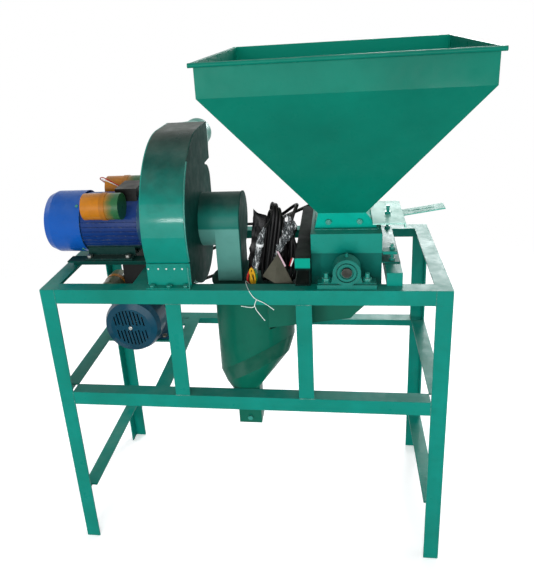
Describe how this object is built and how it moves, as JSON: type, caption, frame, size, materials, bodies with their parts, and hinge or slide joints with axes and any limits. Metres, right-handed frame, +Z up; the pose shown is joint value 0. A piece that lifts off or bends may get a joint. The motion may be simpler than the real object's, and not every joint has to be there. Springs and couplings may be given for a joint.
{
  "type": "seed sheller",
  "caption": "Electric seed sheller on a welded steel angle stand, with a square feed hopper, shelling drum, suction fan and settling tub.",
  "frame": {"origin": "on the floor, under the middle of the whole machine's box", "axes": "+X along the stand from the fan motor to the sheller, +Y to the back where the belt runs, +Z up"},
  "size_m": [1.136, 0.656, 1.398],
  "materials": {
    "green_paint": "glossy sprayed enamel",
    "dark_green_paint": "thin sprayed enamel inside and below",
    "motor_blue": "glossy motor enamel",
    "cover_blue": "glossy motor enamel on pressed steel",
    "lower_motor_blue": "glossy blue-green motor enamel",
    "bright_steel": "turned and ground",
    "zinc_steel": "zinc plated",
    "electrical_steel": "stacked sheet",
    "cast_grey": "cast iron under thin green paint",
    "bearing_steel": "ground bearing steel",
    "aluminium_casting": "painted casting",
    "black_plastic": "moulded",
    "amber_plastic": "moulded case",
    "belt_rubber": "fabric covered",
    "cable_black": "smooth sheath"
  },
  "bodies": {
    "stand": {"bar_screen": "bright_steel", "bearing_blocks": "cast_grey", "bearing_bolts": "zinc_steel", "bearing_inserts": "bearing_steel", "cable_hank": "cable_black", "capacitor_straps": "zinc_steel", "corner_legs": "green_paint", "cross_beams": "green_paint", "discharge_chute": "green_paint", "drive_belt": "belt_rubber", "fan_left_plate": "green_paint", "fan_motor_body": "motor_blue", "fan_motor_cover": "cover_blue", "fan_motor_rails": "green_paint", "fan_motor_terminal_box": "black_plastic", "fan_outlet_collar": "green_paint", "fan_outlet_reducer": "green_paint", "fan_right_plate": "green_paint", "fan_scroll_strip": "green_paint", "fan_skirt_ends": "green_paint", "feed_hopper": "green_paint", "front_uprights": "green_paint", "gate_clamp_screw": "zinc_steel", "gate_guide": "green_paint", "hopper_neck": "green_paint", "hopper_rim": "green_paint", "inlet_duct": "green_paint", "inlet_end_cap": "green_paint", "left_support_channel": "green_paint", "light_bolts": "zinc_steel", "low_side_rails": "green_paint", "lower_housing": "green_paint", "mid_ring_rails": "green_paint", "motor_capacitors": "amber_plastic", "motor_end_shields": "aluminium_casting", "motor_foot_bolts": "zinc_steel", "motor_stators": "electrical_steel", "neck_bolts": "zinc_steel", "power_cable": "cable_black", "right_support_beam": "green_paint", "sheller_motor_beams": "green_paint", "sheller_motor_body": "lower_motor_blue", "sheller_motor_cover": "lower_motor_blue", "sheller_motor_terminal_box": "black_plastic", "top_ring_rails": "green_paint", "tub_cone": "green_paint", "tub_cover": "green_paint", "tub_shell": "green_paint", "tub_spout": "green_paint", "upper_cover": "green_paint"},
    "fan_rotor": {"fan_impeller": "dark_green_paint", "fan_motor_rotor_shaft": "bright_steel", "fan_motor_cooling_fan": "black_plastic"},
    "drum_rotor": {"main_shaft": "bright_steel", "shelling_drum": "dark_green_paint", "drum_pulley": "cast_grey"},
    "motor_rotor": {"sheller_motor_rotor_shaft": "bright_steel", "sheller_motor_cooling_fan": "black_plastic", "motor_pulley": "cast_grey"},
    "gate": {"feed_gate": "green_paint"}
  },
  "joints": [
    {"name": "fan_spin", "type": "hinge", "parent": "stand", "child": "fan_rotor", "pos_m": [-0.205, 0.005, 0.956], "axis": [1, 0, 0], "continuous": true},
    {"name": "drum_spin", "type": "hinge", "parent": "stand", "child": "drum_rotor", "pos_m": [0.269, 0.025, 0.883], "axis": [0, 1, 0], "continuous": true},
    {"name": "sheller_motor_spin", "type": "hinge", "parent": "stand", "child": "motor_rotor", "pos_m": [-0.377, 0.125, 0.615], "axis": [0, 1, 0], "continuous": true},
    {"name": "feed_gate_slide", "type": "slide", "parent": "stand", "child": "gate", "axis": [1, 0, 0], "range_m": [0, 0.13]}
  ],
  "couplings": [
    {"joint": "sheller_motor_spin", "follows": "drum_spin", "ratio": 1.4286}
  ]
}
